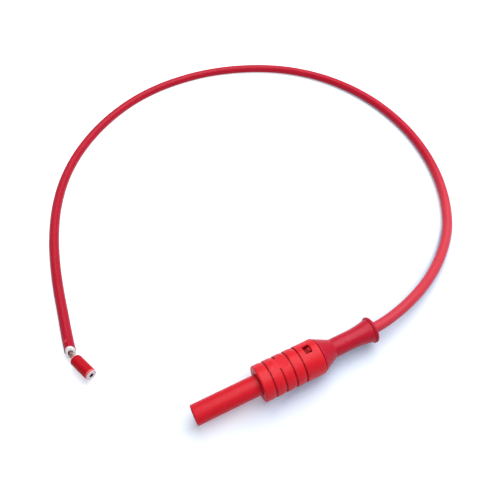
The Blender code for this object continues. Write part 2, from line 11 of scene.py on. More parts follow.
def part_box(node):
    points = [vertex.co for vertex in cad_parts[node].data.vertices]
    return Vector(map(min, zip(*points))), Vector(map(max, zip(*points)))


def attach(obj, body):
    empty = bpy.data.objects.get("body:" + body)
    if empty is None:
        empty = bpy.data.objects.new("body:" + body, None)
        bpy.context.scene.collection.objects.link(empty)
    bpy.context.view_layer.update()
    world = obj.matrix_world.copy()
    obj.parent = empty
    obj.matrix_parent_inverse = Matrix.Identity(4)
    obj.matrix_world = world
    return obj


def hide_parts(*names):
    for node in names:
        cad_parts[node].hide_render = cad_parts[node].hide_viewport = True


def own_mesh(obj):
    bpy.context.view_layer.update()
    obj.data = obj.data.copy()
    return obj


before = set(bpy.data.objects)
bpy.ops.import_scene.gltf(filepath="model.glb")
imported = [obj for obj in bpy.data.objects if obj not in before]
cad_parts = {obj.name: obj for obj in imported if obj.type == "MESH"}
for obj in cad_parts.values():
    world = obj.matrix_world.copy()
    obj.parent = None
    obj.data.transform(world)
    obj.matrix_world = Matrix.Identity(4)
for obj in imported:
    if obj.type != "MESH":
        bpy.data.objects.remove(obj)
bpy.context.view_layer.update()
MM = 0.001

# The photograph's camera, found from the plug's rings and the cable's widths
CAMERA_PLACE = Vector((-44.00, -57.94, 179.0)) * MM
CAMERA_PITCH = math.radians(36.134)
CAMERA_HEADING = math.radians(-26.575)
CAMERA_LENS = 35.71
SENSOR_WIDTH = 36.0
CAMERA_SHIFT = (-0.0015, 0.001)

# Where the frame puts the plug
GRIP_LOW, GRIP_HIGH = (Vector(corner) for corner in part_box("grip_shell"))
SHEATH_LOW, SHEATH_HIGH = (Vector(corner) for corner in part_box("retractable_sheath"))
BOOT_LOW, BOOT_HIGH = (Vector(corner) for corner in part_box("kink_boot"))
PIN_LOW, PIN_HIGH = (Vector(corner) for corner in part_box("contact_pin"))
CAGE_LOW, CAGE_HIGH = (Vector(corner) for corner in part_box("contact_cage"))
SPRING_LOW, SPRING_HIGH = (Vector(corner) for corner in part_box("sheath_spring"))
AXIS_HEIGHT = (GRIP_LOW.z + GRIP_HIGH.z) / 2
GRIP_ROLL = math.radians(-15)

# Sizes that the fine meshes share with the frame's solids
GRIP_R = 6.9 * MM
GROOVE_COUNT = 4
FIRST_BAND = 4.45 * MM
GROOVE_PITCH = 4.15 * MM
GROOVE_DEPTH = 0.6 * MM
GROOVE_WIDTH = 0.4 * MM
GROOVE_FLARE = 0.05 * MM
BAND_TAPER = 1.3 * MM
BAND_DROP = 0.25 * MM
PAD_START = 6.8 * MM
PAD_DEPTH = 0.5 * MM
WINDOW_LENGTH = 2.6 * MM
WINDOW_WIDTH = 3.6 * MM
WINDOW_FROM_REAR = 4.2 * MM
SEAT_R = 6.0 * MM
CHAMBER_R = 5.25 * MM
FRONT_WALL = 1.6 * MM
SHEATH_R = 3.85 * MM
SHEATH_BORE_R = 3.0 * MM
SLIDE_GAP = 0.2 * MM
PIN_R = 2.0 * MM
CABLE_R = 2.15 * MM
CORE_R = 0.75 * MM
INSULATION_R = 1.92 * MM
JACKET_BORE_R = 1.97 * MM
THINNEST_COVER = 0.15 * MM
JACKET_RECESS = 3.0 * MM
CUT_SLANT = math.tan(math.radians(25))

# Rings round each turned piece
FINE_SIDES = 160
PIN_SIDES = 96
CABLE_SIDES = 40

# The cable's route, as the part's source has it
CABLE_START_X = 23.7 * MM
BOOT_FLARE_LENGTH = 9.6 * MM
CABLE_ROUTE = [
    Vector((x, y, z)) * MM
    for x, y, z in (
        (46.1, 0.8, 6.9),
        (58.6, 3.9, 6.1),
        (72.7, 9.5, 4.3),
        (86.7, 17.7, 2.7),
        (98.9, 28.0, 2.1),
        (108.8, 41.1, 2.1),
        (116.6, 56.3, 2.1),
        (121.9, 73.0, 2.1),
        (124.5, 90.1, 2.1),
        (124.2, 107.4, 2.1),
        (121.2, 124.1, 2.1),
        (115.2, 139.9, 2.1),
        (106.4, 154.1, 2.1),
        (95.0, 166.2, 2.1),
        (81.5, 175.5, 2.1),
        (66.6, 182.1, 2.1),
        (50.9, 186.2, 2.1),
        (34.6, 187.4, 2.1),
        (18.1, 185.9, 2.1),
        (2.0, 181.3, 2.1),
        (-13.4, 173.5, 2.1),
        (-27.2, 163.3, 2.1),
        (-39.3, 151.0, 2.1),
        (-49.1, 137.0, 2.1),
        (-56.4, 121.8, 2.1),
        (-61.5, 106.2, 2.1),
        (-64.8, 91.1, 2.1),
        (-66.9, 76.7, 2.1),
        (-68.2, 63.2, 2.3),
        (-69.2, 51.6, 2.9),
        (-69.5, 44.8, 3.8),
    )
]
CABLE_STEP = 1.6 * MM
INSULATION_PROUD = 0.9 * MM
SEAT_GAP = 0.2 * MM
BARE_LENGTH = 4.2 * MM
SLUG_LENGTH = 10.0 * MM
SLUG_SWELL = 0.15 * MM
SLUG_TURN = math.radians(24.5)
SLUG_RISE = math.radians(3)
SLUG_PINCH = 0.8 * MM
SLUG_PINCH_LENGTH = 1.1 * MM
SLUG_HOLE_R = 0.8 * MM
SLUG_NEAR_PROUD = 0.35 * MM
SLUG_FAR_PROUD = 0.3 * MM
CUT_RAGGEDNESS = 0.08 * MM


def add_object(name, mesh, finish, body="plug", angle=math.radians(35)):
    """The mesh as a smooth-shaded piece that rides on a body."""
    made = bpy.data.objects.new(name, mesh)
    bpy.context.scene.collection.objects.link(made)
    mesh.materials.append(finish)
    mesh.shade_smooth()
    mesh.set_sharp_from_angle(angle=angle)
    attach(made, body)
    return made


def mesh_from(name, bm):
    """The bmesh as a mesh whose faces point out."""
    bmesh.ops.recalc_face_normals(bm, faces=bm.faces)
    if bm.calc_volume(signed=True) < 0:
        bmesh.ops.reverse_faces(bm, faces=bm.faces)
    mesh = bpy.data.meshes.new(name)
    bm.to_mesh(mesh)
    bm.free()
    return mesh


def rounded(corners, steps=5):
    """An outline from corners of (x, radius, fillet), each corner turned into an arc of its fillet."""
    points = []
    count = len(corners)
    for i, (x, r, fillet) in enumerate(corners):
        here = Vector((x, r))
        if fillet == 0.0:
            points.append(here)
            continue
        back = (Vector(corners[i - 1][:2]) - here).normalized()
        ahead = (Vector(corners[(i + 1) % count][:2]) - here).normalized()
        half = back.angle(ahead) / 2
        inset = fillet / math.tan(half)
        centre = here + (back + ahead).normalized() * fillet / math.sin(half)
        start = here + back * inset - centre
        end = here + ahead * inset - centre
        arc = start.angle_signed(end)
        for k in range(steps + 1):
            turn = -arc * k / steps
            points.append(centre + Matrix.Rotation(turn, 2) @ start)
    return [(p.x, p.y) for p in points]


def split_runs(outline, longest):
    """The closed outline with points added along its long straight runs."""
    points = []
    for (x0, r0), (x1, r1) in zip(outline, outline[1:] + outline[:1]):
        pieces = max(1, math.ceil(math.hypot(x1 - x0, r1 - r0) / longest))
        for k in range(pieces):
            share = k / pieces
            points.append((x0 + (x1 - x0) * share, r0 + (r1 - r0) * share))
    return points


def turned(name, outline, sides, open_ends=False):
    """A ring-shaped piece turned about the plug's axis from its outline of (x, radius)."""
    bm = bmesh.new()
    rings = []
    for x, r in outline:
        ring = []
        for k in range(sides):
            turn = 2 * math.pi * k / sides
            ring.append(bm.verts.new((x, r * math.sin(turn), AXIS_HEIGHT + r * math.cos(turn))))
        rings.append(ring)
    pairs = list(zip(rings, rings[1:]))
    if open_ends:
        bm.faces.new(list(reversed(rings[0])))
        bm.faces.new(rings[-1])
    else:
        pairs.append((rings[-1], rings[0]))
    for first, second in pairs:
        for k in range(sides):
            n = (k + 1) % sides
            bm.faces.new((first[k], second[k], second[n], first[n]))
    return mesh_from(name, bm)


def combine(piece, operation, tool_meshes):
    """Joins the closed meshes to the piece, or takes them out of it, for good."""
    for mesh in tool_meshes:
        tool = bpy.data.objects.new("tool", mesh)
        bpy.context.scene.collection.objects.link(tool)
        cut = piece.modifiers.new("cut", "BOOLEAN")
        cut.operation = operation
        cut.solver = "EXACT"
        cut.object = tool
        bpy.context.view_layer.update()
        cut_piece = piece.evaluated_get(bpy.context.evaluated_depsgraph_get())
        result = bpy.data.meshes.new_from_object(cut_piece)
        piece.modifiers.remove(cut)
        piece.data = result
        bpy.data.objects.remove(tool)


def window_cutter(middle, turn):
    """A hole with rounded corners through the grip's wall, its rim softened at the outside."""
    corner = 0.35 * MM
    steps = 5
    half_length = WINDOW_LENGTH / 2
    half_width = WINDOW_WIDTH / 2
    border = []
    for side_x, side_y, start in ((1, 1, 0), (-1, 1, 90), (-1, -1, 180), (1, -1, 270)):
        for k in range(steps + 1):
            angle = math.radians(start + 90 * k / steps)
            out = Vector((math.cos(angle), math.sin(angle)))
            arc_centre = Vector((side_x * (half_length - corner), side_y * (half_width - corner)))
            border.append((arc_centre + corner * out, out))
    rim = 0.14 * MM
    rim_steps = 4
    bottom = SEAT_R - 1.5 * MM
    top = GRIP_R + 1.0 * MM
    levels = [(bottom, 0.0, True), (GRIP_R - rim, 0.0, False)]
    for k in range(1, rim_steps + 1):
        angle = math.radians(90 * k / rim_steps)
        levels.append((GRIP_R - rim + rim * math.sin(angle), rim * (1 - math.cos(angle)), False))
    levels.append((GRIP_R + rim, 2 * rim, False))
    levels.append((top, 2 * rim, True))
    about_axis = Matrix.Translation((middle, 0.0, AXIS_HEIGHT)) @ Matrix.Rotation(turn, 4, "X")
    bm = bmesh.new()
    rings = []
    for r, grow, flat in levels:
        ring = []
        for place, out in border:
            x, across = place + grow * out
            height = r if flat else math.sqrt(r**2 - across**2)
            ring.append(bm.verts.new(about_axis @ Vector((x, across, height))))
        rings.append(ring)
    count = len(border)
    for first, second in zip(rings, rings[1:]):
        for k in range(count):
            n = (k + 1) % count
            bm.faces.new((first[k], first[n], second[n], second[k]))
    bm.faces.new(list(reversed(rings[0])))
    bm.faces.new(rings[-1])
    return mesh_from("window_tool", bm)


def pad_cutter(start, end):
    """The flat that the bare pad is cut to, its foot rounded at both ends."""
    foot = 0.15 * MM
    foot_steps = 4
    floor = GRIP_R - PAD_DEPTH
    top = 1.3 * GRIP_R
    outline = [(start, top)]
    for arc_x, arc_start in ((start + foot, 180), (end - foot, 270)):
        for k in range(foot_steps + 1):
            angle = math.radians(arc_start + 90 * k / foot_steps)
            outline.append((arc_x + foot * math.cos(angle), floor + foot + foot * math.sin(angle)))
    outline.append((end, top))
    bm = bmesh.new()
    place = Matrix.Translation((0.0, 0.0, AXIS_HEIGHT)) @ Matrix.Rotation(GRIP_ROLL, 4, "X")
    sides = []
    for y in (-GRIP_R, GRIP_R):
        sides.append([bm.verts.new(place @ Vector((x, y, z))) for x, z in outline])
    near, far = sides
    count = len(outline)
    for k in range(count):
        n = (k + 1) % count
        bm.faces.new((near[k], near[n], far[n], far[k]))
    bm.faces.new(list(reversed(near)))
    bm.faces.new(far)
    return mesh_from("pad_tool", bm)


def groove_fill(middle):
    """A plug for the groove where it would cross the pad."""
    half_width = math.sqrt((GRIP_R - BAND_DROP / 2) ** 2 - (GRIP_R - PAD_DEPTH) ** 2)
    low = GRIP_R - 2 * GROOVE_DEPTH
    high = GRIP_R - PAD_DEPTH / 2
    bm = bmesh.new()
    place = Matrix.Translation((middle, 0.0, AXIS_HEIGHT)) @ Matrix.Rotation(GRIP_ROLL, 4, "X")
    place = place @ Matrix.Translation((0.0, 0.0, (low + high) / 2))
    place = place @ Matrix.Diagonal((2 * GROOVE_WIDTH, 2 * half_width, high - low, 1.0))
    bmesh.ops.create_cube(bm, size=1.0, matrix=place)
    return mesh_from("fill_tool", bm)


def make_grip(finish):
    rim = GRIP_LOW.x
    rear = GRIP_HIGH.x
    hole = SHEATH_R + SLIDE_GAP
    lip = 0.12 * MM
    corners = [(rim, hole, 0.2 * MM), (rim, GRIP_R, 0.5 * MM)]
    half = GROOVE_WIDTH / 2
    grooves = [rim + FIRST_BAND + i * GROOVE_PITCH - half for i in range(GROOVE_COUNT)]
    for middle in grooves:
        corners += [
            (middle - half - BAND_TAPER, GRIP_R, 0.6 * MM),
            (middle - half - GROOVE_FLARE, GRIP_R - BAND_DROP, 0.05 * MM),
            (middle - half, GRIP_R - GROOVE_DEPTH, 0.07 * MM),
            (middle + half, GRIP_R - GROOVE_DEPTH, 0.07 * MM),
            (middle + half + GROOVE_FLARE, GRIP_R, 0.05 * MM),
        ]
    seat_start = rear - 7.4 * MM
    corners += [
        (rear, GRIP_R, 0.4 * MM),
        (rear, SEAT_R, lip),
        (seat_start, SEAT_R, 0.0),
        (seat_start, CHAMBER_R, 0.0),
        (rim + FRONT_WALL, CHAMBER_R, 0.3 * MM),
        (rim + FRONT_WALL, hole, 0.0),
    ]
    outline = split_runs(rounded(corners), longest=0.8 * MM)
    grip = add_object("grip", turned("grip", outline, FINE_SIDES), finish)
    window_middle = rear - WINDOW_FROM_REAR
    crossed_groove = grooves[1]
    pad_end = grooves[2]
    tools = [
        pad_cutter(rim + PAD_START, pad_end),
        window_cutter(window_middle, GRIP_ROLL),
        window_cutter(window_middle, GRIP_ROLL + math.pi),
    ]
    combine(grip, "UNION", [groove_fill(crossed_groove)])
    combine(grip, "DIFFERENCE", tools)
    grip.data.shade_smooth()
    grip.data.set_sharp_from_angle(angle=math.radians(20))
    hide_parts("grip_shell")


def make_sheath(finish):
    nose = SHEATH_LOW.x
    rear = SHEATH_HIGH.x
    flange_r = 5.05 * MM
    flange_front = rear - 1.6 * MM
    guide = nose + 19.4 * MM
    guide_end = guide + 1.0 * MM
    well = rear - 1.2 * MM
    well_r = SHEATH_BORE_R + 0.5 * MM
    corners = [
        (nose, SHEATH_BORE_R, 0.28 * MM),
        (nose, SHEATH_R, 0.3 * MM),
        (flange_front, SHEATH_R, 0.2 * MM),
        (flange_front, flange_r, 0.2 * MM),
        (rear, flange_r, 0.1 * MM),
        (rear, well_r, 0.1 * MM),
        (well, well_r, 0.0),
        (well, SHEATH_BORE_R, 0.0),
        (guide_end, SHEATH_BORE_R, 0.0),
        (guide_end, PIN_R + SLIDE_GAP, 0.1 * MM),
        (guide, PIN_R + SLIDE_GAP, 0.1 * MM),
        (guide, SHEATH_BORE_R, 0.0),
    ]
    outline = split_runs(rounded(corners), longest=2.0 * MM)
    sheath = add_object("sheath", turned("sheath", outline, FINE_SIDES), finish, body="sheath")
    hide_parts("retractable_sheath")


def make_boot(finish):
    front = BOOT_LOW.x
    end = BOOT_HIGH.x
    socket_end = front + 4.2 * MM
    cone_end = front + 6.2 * MM
    barrel_room = front + 10.6 * MM
    flare = end - BOOT_FLARE_LENGTH
    socket_r = 3.5 * MM
    front_r = 6.6 * MM
    neck_r = 3.6 * MM
    mouth_r = 3.8 * MM
    throat_r = CABLE_R + 0.1 * MM
    lip = 0.75 * MM
    lip_r = 5.25 * MM - lip
    lip_join = math.radians(170)
    trumpet_end = end - lip + lip * math.cos(lip_join)
    trumpet_r = lip_r + lip * math.sin(lip_join)
    trumpet_power = 1.7
    trumpet_steps = 14
    lip_steps = 10
    throat_steps = 10
    corners = [(front, socket_r, 0.0), (front, front_r, 0.2 * MM), (cone_end, neck_r, 0.5 * MM)]
    for k in range(trumpet_steps):
        share = k / trumpet_steps
        r = neck_r + (trumpet_r - neck_r) * share**trumpet_power
        corners.append((flare + (trumpet_end - flare) * share, r, 0.0))
    for k in range(lip_steps + 1):
        angle = lip_join * (1 - k / lip_steps)
        corners.append((end - lip + lip * math.cos(angle), lip_r + lip * math.sin(angle), 0.0))
    for k in range(throat_steps + 1):
        share = 1 - k / throat_steps
        r = throat_r + (mouth_r - throat_r) * share**2
        corners.append((flare + BOOT_FLARE_LENGTH * share, r, 0.0))
    corners += [(barrel_room, throat_r, 0.0), (socket_end, throat_r, 0.0), (socket_end, socket_r, 0.0)]
    outline = split_runs(rounded(corners), longest=1.2 * MM)
    boot = add_object("boot", turned("boot", outline, FINE_SIDES), finish)
    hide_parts("kink_boot")


def make_pin(finish):
    tip = PIN_LOW.x
    end = PIN_HIGH.x
    head_r = 1.85 * MM
    waist_r = 1.35 * MM
    waist = tip + 2.2 * MM
    shoulder = waist + 13.2 * MM
    flange_r = 3.3 * MM
    flange_rear = tip + 46.1 * MM
    flange_front = flange_rear - 1.0 * MM
    barrel = tip + 52.4 * MM
    barrel_r = 1.7 * MM
    centre_r = 0.0002 * MM
    nose_steps = 10
    corners = []
    for k in range(nose_steps + 1):
        angle = math.radians(172 - 82 * k / nose_steps)
        corners.append((tip + head_r + head_r * math.cos(angle), head_r * math.sin(angle), 0.0))
    corners += [
        (waist, head_r, 0.12 * MM),
        (waist, waist_r, 0.1 * MM),
        (shoulder, waist_r, 0.1 * MM),
        (shoulder, PIN_R, 0.15 * MM),
        (flange_front, PIN_R, 0.1 * MM),
        (flange_front, flange_r, 0.1 * MM),
        (flange_rear, flange_r, 0.1 * MM),
        (flange_rear, PIN_R, 0.1 * MM),
        (barrel, PIN_R, 0.1 * MM),
        (barrel, barrel_r, 0.1 * MM),
        (end, barrel_r, 0.15 * MM),
        (end, centre_r, 0.0),
    ]
    outline = rounded(corners)
    pin = add_object("contact", turned("contact", outline, PIN_SIDES, open_ends=True), finish)
    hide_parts("contact_pin")


def make_cage(finish):
    """The lantern's end rings and its bowed leaves, rolled from one slotted sheet."""
    start = CAGE_LOW.x
    length = CAGE_HIGH.x - start
    inner_r = 1.45 * MM
    sheet = 0.17 * MM
    ring_length = 1.1 * MM
    bulge = 2.15 * MM - inner_r - sheet
    leaves = 8
    slot = 0.5 * MM
    steps = 40
    sides_per_leaf = 12
    bm = bmesh.new()
    stations = []
    for i in range(steps + 1):
        share = i / steps
        along = ring_length + (length - 2 * ring_length) * share
        stations.append((along, bulge * (1 - (2 * share - 1) ** 2)))
    stations = [(0.0, 0.0)] + stations + [(length, 0.0)]
    half_slot = slot / 2 / (inner_r + sheet)
    leaf_turn = 2 * math.pi / leaves
    turns = []
    for leaf in range(leaves):
        for k in range(sides_per_leaf + 1):
            turns.append(leaf * leaf_turn + half_slot + (leaf_turn - 2 * half_slot) * k / sides_per_leaf)
    count = len(turns)
    walls = []
    for r0 in (inner_r, inner_r + sheet):
        rows = []
        for along, bow in stations:
            r = r0 + bow
            row = []
            for turn in turns:
                place = (start + along, r * math.sin(turn), AXIS_HEIGHT + r * math.cos(turn))
                row.append(bm.verts.new(place))
            rows.append(row)
        walls.append(rows)
    inside, outside = walls
    last = len(stations) - 2
    for i in range(last + 1):
        past_ring = 0 < i < last
        for k in range(count):
            n = (k + 1) % count
            if past_ring and k % (sides_per_leaf + 1) == sides_per_leaf:
                continue
            bm.faces.new((inside[i][k], inside[i][n], inside[i + 1][n], inside[i + 1][k]))
            bm.faces.new((outside[i][k], outside[i + 1][k], outside[i + 1][n], outside[i][n]))
    open_edges = [edge for edge in bm.edges if edge.is_boundary]
    pair_of = {}
    for inner_row, outer_row in zip(inside, outside):
        for a, b in zip(inner_row, outer_row):
            pair_of[a] = b
    for edge in open_edges:
        a, b = edge.verts
        if a in pair_of and b in pair_of:
            bm.faces.new((a, b, pair_of[b], pair_of[a]))
    cage = add_object("lantern", mesh_from("lantern", bm), finish)
    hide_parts("contact_cage")


def sweep(bm, path, radius_at, sides, first_side=None):
    """Rings of a tube along the path, kept from twisting, each with its own radius."""
    side = first_side or (path[1] - path[0]).cross(Vector((0, 0, 1))).normalized()
    rings = []
    for i, place in enumerate(path):
        along = (path[min(i + 1, len(path) - 1)] - path[max(i - 1, 0)]).normalized()
        side = (side - side.dot(along) * along).normalized()
        over = side.cross(along)
        ring = []
        for k in range(sides):
            turn = 2 * math.pi * k / sides
            out = math.cos(turn) * side + math.sin(turn) * over
            ring.append(bm.verts.new(place + radius_at(i, place, out) * out))
        rings.append(ring)
    return rings


def skin(bm, rings):
    for first, second in zip(rings, rings[1:]):
        count = len(first)
        for k in range(count):
            n = (k + 1) % count
            bm.faces.new((first[k], second[k], second[n], first[n]))


def make_spring(finish):
    wire_r = 0.225 * MM
    wire_sides = 12
    coil_r = 2.5 * MM
    turns = 11
    steps_per_turn = 32
    steps = turns * steps_per_turn
    start = SPRING_LOW.x + wire_r
    end = SPRING_HIGH.x - wire_r
    path = []
    for i in range(steps + 1):
        turn = 2 * math.pi * turns * i / steps
        x = start + (end - start) * i / steps
        path.append(Vector((x, coil_r * math.sin(turn), AXIS_HEIGHT + coil_r * math.cos(turn))))
    bm = bmesh.new()
    rings = sweep(bm, path, lambda i, place, out: wire_r, wire_sides, first_side=Vector((1, 0, 0)))
    skin(bm, rings)
    bm.faces.new(rings[0])
    bm.faces.new(list(reversed(rings[-1])))
    spring = add_object("return_spring", mesh_from("return_spring", bm), finish)
    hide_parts("sheath_spring")
    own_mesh(spring)


def curve_through(points, spacing):
    """A smooth curve through the points, read off at the given spacing, both ends kept."""
    fine = []
    ends = [2 * points[0] - points[1], *points, 2 * points[-1] - points[-2]]
    steps = 24
    for a, b, c, d in zip(ends, ends[1:], ends[2:], ends[3:]):
        for i in range(steps):
            t = i / steps
            square = (2 * a - 5 * b + 4 * c - d) * t**2
            cube = (3 * b - a - 3 * c + d) * t**3
            fine.append((2 * b + (c - a) * t + square + cube) / 2)
    fine.append(points[-1])
    lengths = [(b - a).length for a, b in zip(fine, fine[1:])]
    count = round(sum(lengths) / spacing)
    step = sum(lengths) / count
    read = [fine[0]]
    travelled = 0.0
    for a, b, length in zip(fine, fine[1:], lengths):
        while travelled + length > step * len(read) and len(read) < count:
            read.append(a.lerp(b, (step * len(read) - travelled) / length))
        travelled += length
    return read + [fine[-1]]


def cable_centreline():
    boot_end = BOOT_HIGH.x
    places = (CABLE_START_X, boot_end - BOOT_FLARE_LENGTH, boot_end)
    in_boot = [Vector((x, 0.0, AXIS_HEIGHT)) for x in places]
    points = curve_through(in_boot + CABLE_ROUTE, CABLE_STEP)
    return [Vector((p.x, p.y, max(p.z, CABLE_R))) for p in points]


def distances(path):
    """How far along the path each of its points lies."""
    gone = [0.0]
    for before, after in zip(path, path[1:]):
        gone.append(gone[-1] + (after - before).length)
    return gone


def rounded_end(distance, length, drop):
    """How far a rounded end has drawn in at a distance from its tip."""
    if distance >= length:
        return 0.0
    return drop * (1 - math.sqrt(1 - (1 - distance / length) ** 2))


def cut_tube(name, path, outer_r, bore_r, depth, ragged, seed, slant=0.0, narrowing=None):
    """A tube along the path with both ends cut off by a blade, bored to a depth that hides its core.

    Ragged is how far the cut wanders and seed picks its pattern. The far end can be cut on a slant, and
    narrowing gives how far the tube draws in near its two ends.
    """
    bm = bmesh.new()
    uneven = 0.025 * MM
    worn_edge = 0.06 * MM
    edge_width = 0.07 * MM
    lip_depth = 0.03 * MM
    slanted_length = 3.0 * MM
    gone = distances(path)
    total = gone[-1]
    radii = [outer_r - (narrowing(g, total - g) if narrowing else 0.0) for g in gone]

    def outside(i, place, out):
        grain = noise.noise(place * 90.0 + out * 0.7 + Vector((seed, 0, 0)))
        return radii[i] + uneven * (grain - 0.5)

    rings = sweep(bm, path, outside, CABLE_SIDES)
    skin(bm, rings)
    forward = (path[-1] - path[-2]).normalized()
    up = (Vector((0, 0, 1)) - forward.z * forward).normalized()
    ends = []
    for ring, place, inner, r in (
        (rings[0], path[0], path[1], radii[0]),
        (rings[-1], path[-1], path[-2], radii[-1]),
    ):
        into = (inner - place).normalized()
        bore = min(bore_r, r - THINNEST_COVER)
        face = []
        lip = []
        hollow = []
        for vert in ring:
            out = (vert.co - place).normalized()
            wobble = ragged * noise.noise(out * 2.3 + Vector((seed, 7.0, place.x * 40)))
            vert.co += into * (worn_edge + wobble)
            face.append(bm.verts.new(place + out * (r - edge_width) + into * wobble))
            lip.append(bm.verts.new(place + out * bore + into * (lip_depth + wobble)))
            hollow.append(bm.verts.new(place + out * bore + into * depth))
        ends.append((ring, face, lip, hollow))
    for which, (ring, face, lip, hollow) in enumerate(ends):
        chain = [ring, face, lip, hollow]
        if which == 0:
            chain = list(reversed(chain))
        skin(bm, chain)
        bm.faces.new(hollow if which == 0 else list(reversed(hollow)))
    for vert in bm.verts:
        from_end = vert.co - path[-1]
        behind = max(-from_end.dot(forward), 0.0)
        if slant and behind < slanted_length and from_end.length < 2 * slanted_length:
            vert.co -= forward * from_end.dot(up) * slant * (1 - behind / slanted_length)
    return mesh_from(name, bm)


def second_finish(mesh, finish, start, along, chosen):
    """Gives another finish to the faces chosen by how far along an axis they lie and how far from it."""
    mesh.materials.append(finish)
    for face in mesh.polygons:
        from_start = face.center - start
        gone = from_start.dot(along)
        if chosen(gone, (from_start - gone * along).length):
            face.material_index = 1


def make_cable(finish):
    path = cable_centreline()
    mesh = cut_tube(
        "lead",
        path,
        outer_r=CABLE_R,
        bore_r=JACKET_BORE_R,
        depth=JACKET_RECESS,
        ragged=0.05 * MM,
        seed=3.0,
        slant=CUT_SLANT,
    )
    cable = add_object("lead", mesh, finish)
    end = path[-1]
    along = (end - path[-2]).normalized()
    top = Vector((0.0, 0.0, 0.9 * CABLE_R))
    scuff = end - 4.0 * MM * along + top - Vector((0.7 * MM, 0.0, 0.0))
    scuff_end = scuff - 0.35 * MM * along + Vector((0.35 * MM, 0.0, 0.1 * MM))
    scuff_r = 0.38 * MM
    speck = end - 2.1 * MM * along + top
    speck_r = 0.42 * MM
    # Painted light: a paler, pinker patch round the cable near the boot stands in for the light that
    # falls strongest there.
    near_boot = Vector((0.07, 0.0, 0.0))
    painted_light_r = 0.088
    painted_light_tint = (0.68, 0.045, 0.072)
    bright = (1.0, 0.12, 0.16)
    dark = (0.42, 0.001, 0.004)
    marks = (
        (near_boot, painted_light_r, painted_light_tint),
        (scuff, scuff_r, bright),
        (scuff_end, scuff_r, bright),
        (speck, speck_r, dark),
    )
    marked(finish, marks)
    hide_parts("cable")
    return cable, path


def straight(start, along, length, steps):
    return [start + along * length * i / steps for i in range(steps + 1)]


def make_stripped_end(path, finishes):
    """The proud insulation, the bared strands and the slug of covering at the cable's cut end."""
    cable_end = path[-1]
    along = (path[-1] - path[-2]).normalized()
    stub = make_stub(cable_end, along, finishes)
    heading = math.atan2(along.y, along.x) + SLUG_TURN
    level = math.cos(SLUG_RISE)
    slug_along = Vector((level * math.cos(heading), level * math.sin(heading), math.sin(SLUG_RISE)))
    slug_start = cable_end + BARE_LENGTH * (along + slug_along).normalized()
    jacket = make_slug_jacket(slug_start, slug_along, finishes)
    lining = make_slug_lining(slug_start, slug_along, finishes)
    bared = bared_path(cable_end, along, slug_start, slug_along)
    strands = make_strands(bared, finishes["strands"])
    return [stub, jacket, lining, strands]


def make_stub(cable_end, along, finishes):
    """The white insulation that stands proud of the jacket at the cable's cut."""
    hidden = JACKET_RECESS - SEAT_GAP
    start = cable_end - along * hidden
    length = hidden + SEAT_GAP + INSULATION_PROUD
    core_hole = CORE_R + 0.25 * MM
    edge_length = 0.15 * MM
    edge_drop = 0.06 * MM
    mesh = cut_tube(
        "inner_cover",
        straight(start, along, length, 8),
        outer_r=INSULATION_R,
        bore_r=core_hole,
        depth=1.6 * MM,
        ragged=CUT_RAGGEDNESS,
        seed=11.0,
        slant=1.3 * CUT_SLANT,
        narrowing=lambda near, far: rounded_end(far, edge_length, edge_drop),
    )
    stub = add_object("inner_cover", mesh, finishes["insulation"])
    # Painted shade: the bore near the cut gets a near-black finish, for the shade inside the hole.
    second_finish(
        mesh,
        finishes["painted_bore_shade"],
        start,
        along,
        lambda gone, out: out < core_hole * 1.02 and gone > 0.5 * length,
    )
    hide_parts("inner_insulation")
    return stub


def make_slug_jacket(start, along, finishes):
    """The slug's red covering, pinched where the blade closed on it and paler round its far rim."""
    rim_length = 0.85 * MM
    far_drop = 0.15 * MM
    far_drop_length = 0.9 * MM

    def pinched(near, far):
        far_share = max(0.0, 1 - far / far_drop_length)
        return rounded_end(near, SLUG_PINCH_LENGTH, SLUG_PINCH) + far_drop * far_share

    mesh = cut_tube(
        "slug_cover",
        straight(start, along, SLUG_LENGTH, 50),
        outer_r=CABLE_R + SLUG_SWELL,
        bore_r=JACKET_BORE_R,
        depth=2.5 * MM,
        ragged=CUT_RAGGEDNESS,
        seed=23.0,
        narrowing=pinched,
    )
    jacket = add_object("slug_cover", mesh, finishes["slug"])
    left = along.cross(Vector((0, 0, 1)))
    speck = start + 3.1 * MM * along + 1.35 * MM * left + Vector((0.0, 0.0, 1.7 * MM))
    speck_r = 0.5 * MM
    dark = (0.36, 0.001, 0.004)
    marked(finishes["slug"], ((speck, speck_r, dark),))
    second_finish(
        mesh,
        finishes["pale_rim"],
        start,
        along,
        lambda gone, out: gone > SLUG_LENGTH - rim_length and out > JACKET_BORE_R,
    )
    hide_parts("slug_jacket")
    return jacket


def make_slug_lining(start, along, finishes):
    """The slug's white insulation, a little proud at both ends and spread at the far one."""
    far_flare = 0.05 * MM
    far_flare_length = 0.3 * MM
    painted_shade_from_end = 0.1 * MM
    length = SLUG_NEAR_PROUD + SLUG_LENGTH + SLUG_FAR_PROUD

    def spread_out(near, far):
        far_share = max(0.0, 1 - far / far_flare_length)
        return rounded_end(near, SLUG_PINCH_LENGTH, SLUG_PINCH) - far_flare * far_share

    mesh = cut_tube(
        "slug_lining",
        straight(start - SLUG_NEAR_PROUD * along, along, length, 50),
        outer_r=INSULATION_R + SLUG_SWELL,
        bore_r=SLUG_HOLE_R,
        depth=3.4 * MM,
        ragged=CUT_RAGGEDNESS,
        seed=31.0,
        narrowing=spread_out,
    )
    lining = add_object("slug_lining", mesh, finishes["insulation"])
    # Painted shade: the slug's bore gets a near-black finish, for the shade inside the hole.
    painted_shade_end = SLUG_LENGTH + SLUG_FAR_PROUD - painted_shade_from_end
    second_finish(
        mesh,
        finishes["painted_bore_shade"],
        start,
        along,
        lambda gone, out: out < SLUG_HOLE_R * 1.02 and 0.0 < gone < painted_shade_end,
    )
    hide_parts("slug_insulation")
    return lining


